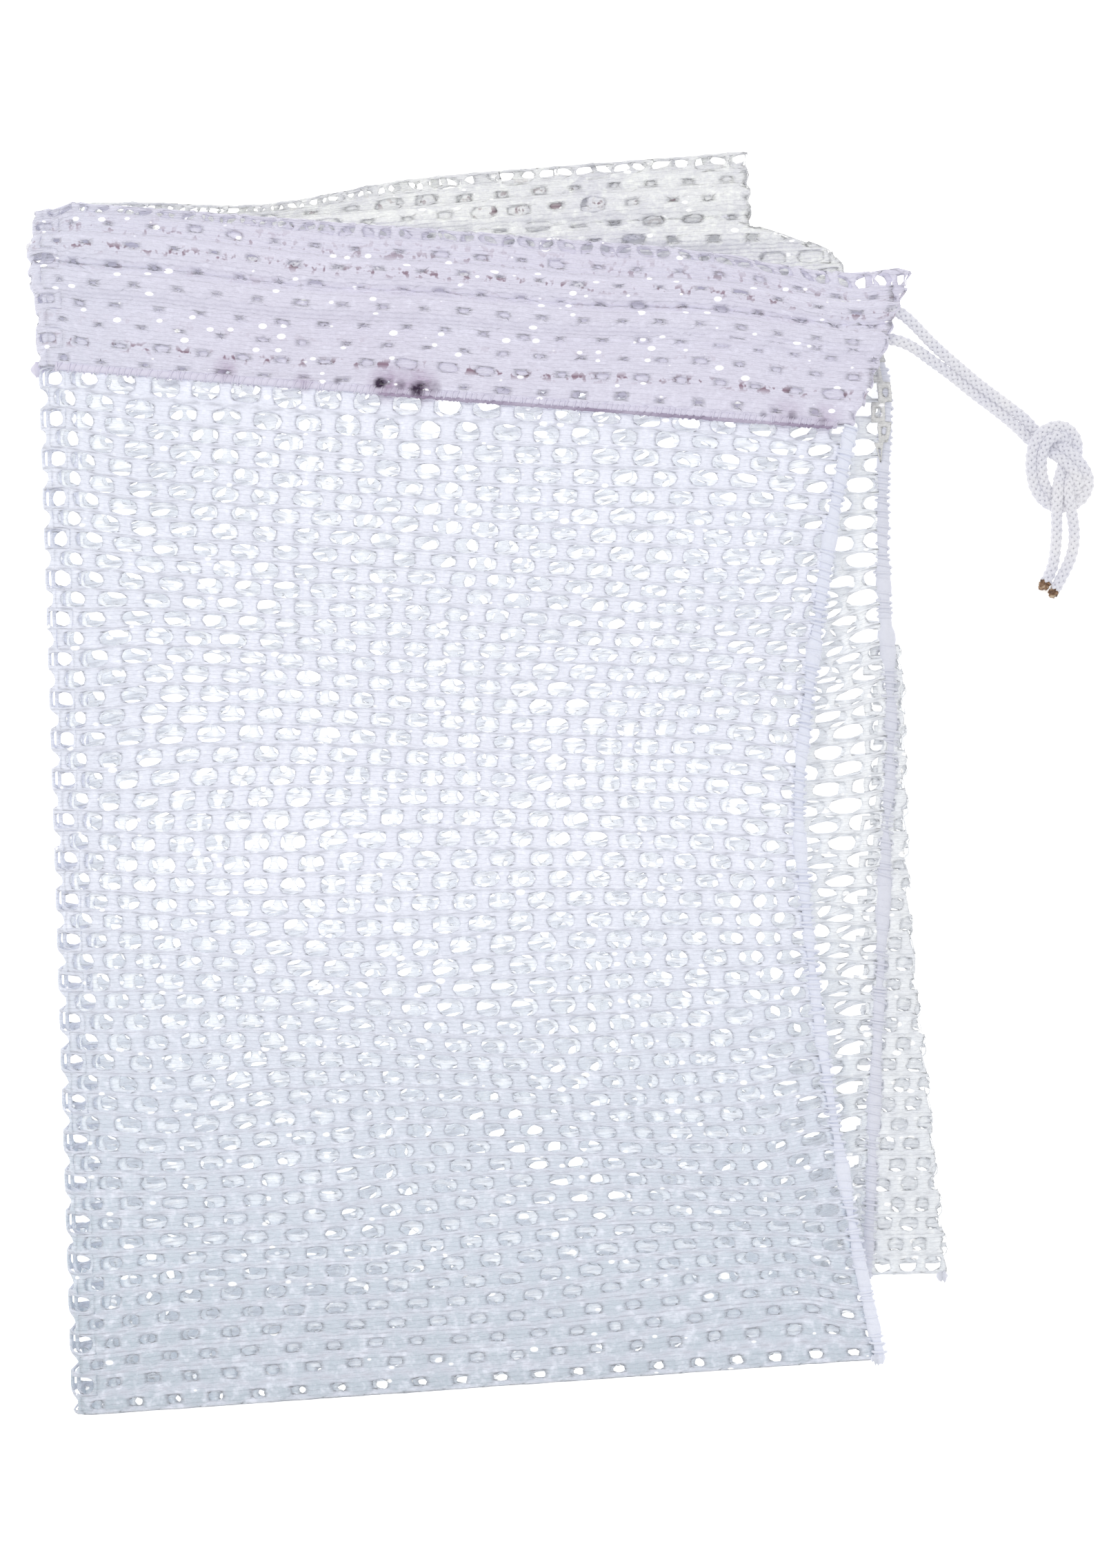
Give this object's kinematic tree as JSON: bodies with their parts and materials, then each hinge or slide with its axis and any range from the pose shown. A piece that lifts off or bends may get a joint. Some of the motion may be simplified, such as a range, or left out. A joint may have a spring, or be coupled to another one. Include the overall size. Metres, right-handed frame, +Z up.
{
  "type": "mesh laundry bag",
  "caption": "Drawstring laundry bag of open knitted net, folded in half and lying flat, its doubled drawcord ending in an overhand knot.",
  "frame": {"origin": "centre of the bag's outline without its free cord, on the surface it lies on", "axes": "+Z up from the table; +Y along the left fold, from the bag's bottom to its mouth; +X from the left fold to the side seams"},
  "size_m": [0.2614, 0.3065, 0.0117],
  "materials": {
    "net_mesh": "matte knitted polyester net, open oval meshes",
    "casing_net": "the same net, doubled, with a faint purple tint",
    "seam_thread": "overlocked polyester thread",
    "drawcord_braid": "round braided polyester cord",
    "melted_tip": "melted and browned polyester"
  },
  "bodies": {
    "rear_half": {"rear_outer_wall": "net_mesh", "rear_inner_wall": "net_mesh", "rear_outer_casing": "casing_net", "rear_inner_casing": "casing_net", "rear_outer_hem_seam": "seam_thread", "rear_inner_hem_seam": "seam_thread", "rear_side_seam": "seam_thread", "rear_raw_edge": "net_mesh", "rear_bottom_fold": "net_mesh", "outer_side_fold": "net_mesh", "inner_side_fold": "net_mesh", "outer_casing_fold": "casing_net", "inner_casing_fold": "casing_net", "cord_in_rear_outer_casing": "drawcord_braid", "cord_in_rear_inner_casing": "drawcord_braid", "cord_turn_at_rear_seam": "drawcord_braid", "cord_turn_at_outer_fold": "drawcord_braid", "cord_turn_at_inner_fold": "drawcord_braid"},
    "front_half": {"front_outer_wall": "net_mesh", "front_inner_wall": "net_mesh", "front_outer_casing": "casing_net", "front_inner_casing": "casing_net", "front_outer_hem_seam": "seam_thread", "front_inner_hem_seam": "seam_thread", "front_side_seam": "seam_thread", "front_bottom_fold": "net_mesh"},
    "drawcord": {"cord_in_front_outer_casing": "drawcord_braid", "cord_in_front_inner_casing": "drawcord_braid", "cord_strand_outer": "drawcord_braid", "cord_strand_inner": "drawcord_braid", "cord_knot": "drawcord_braid", "cord_tail_left": "drawcord_braid", "cord_tail_right": "drawcord_braid", "cord_tip_left": "melted_tip", "cord_tip_right": "melted_tip"}
  },
  "joints": [
    {"name": "unfold", "type": "hinge", "parent": "rear_half", "child": "front_half", "pos_m": [-0.1038, 0, 0.00585], "axis": [0, -1, 0], "range_deg": [0, 180], "deforming": ["outer_side_fold", "inner_side_fold", "outer_casing_fold", "inner_casing_fold", "cord_turn_at_outer_fold", "cord_turn_at_inner_fold"]},
    {"name": "drawcord_pull", "type": "slide", "parent": "front_half", "child": "drawcord", "axis": [0.9943, -0.1063, 0], "range_m": [0, 0.15]}
  ]
}
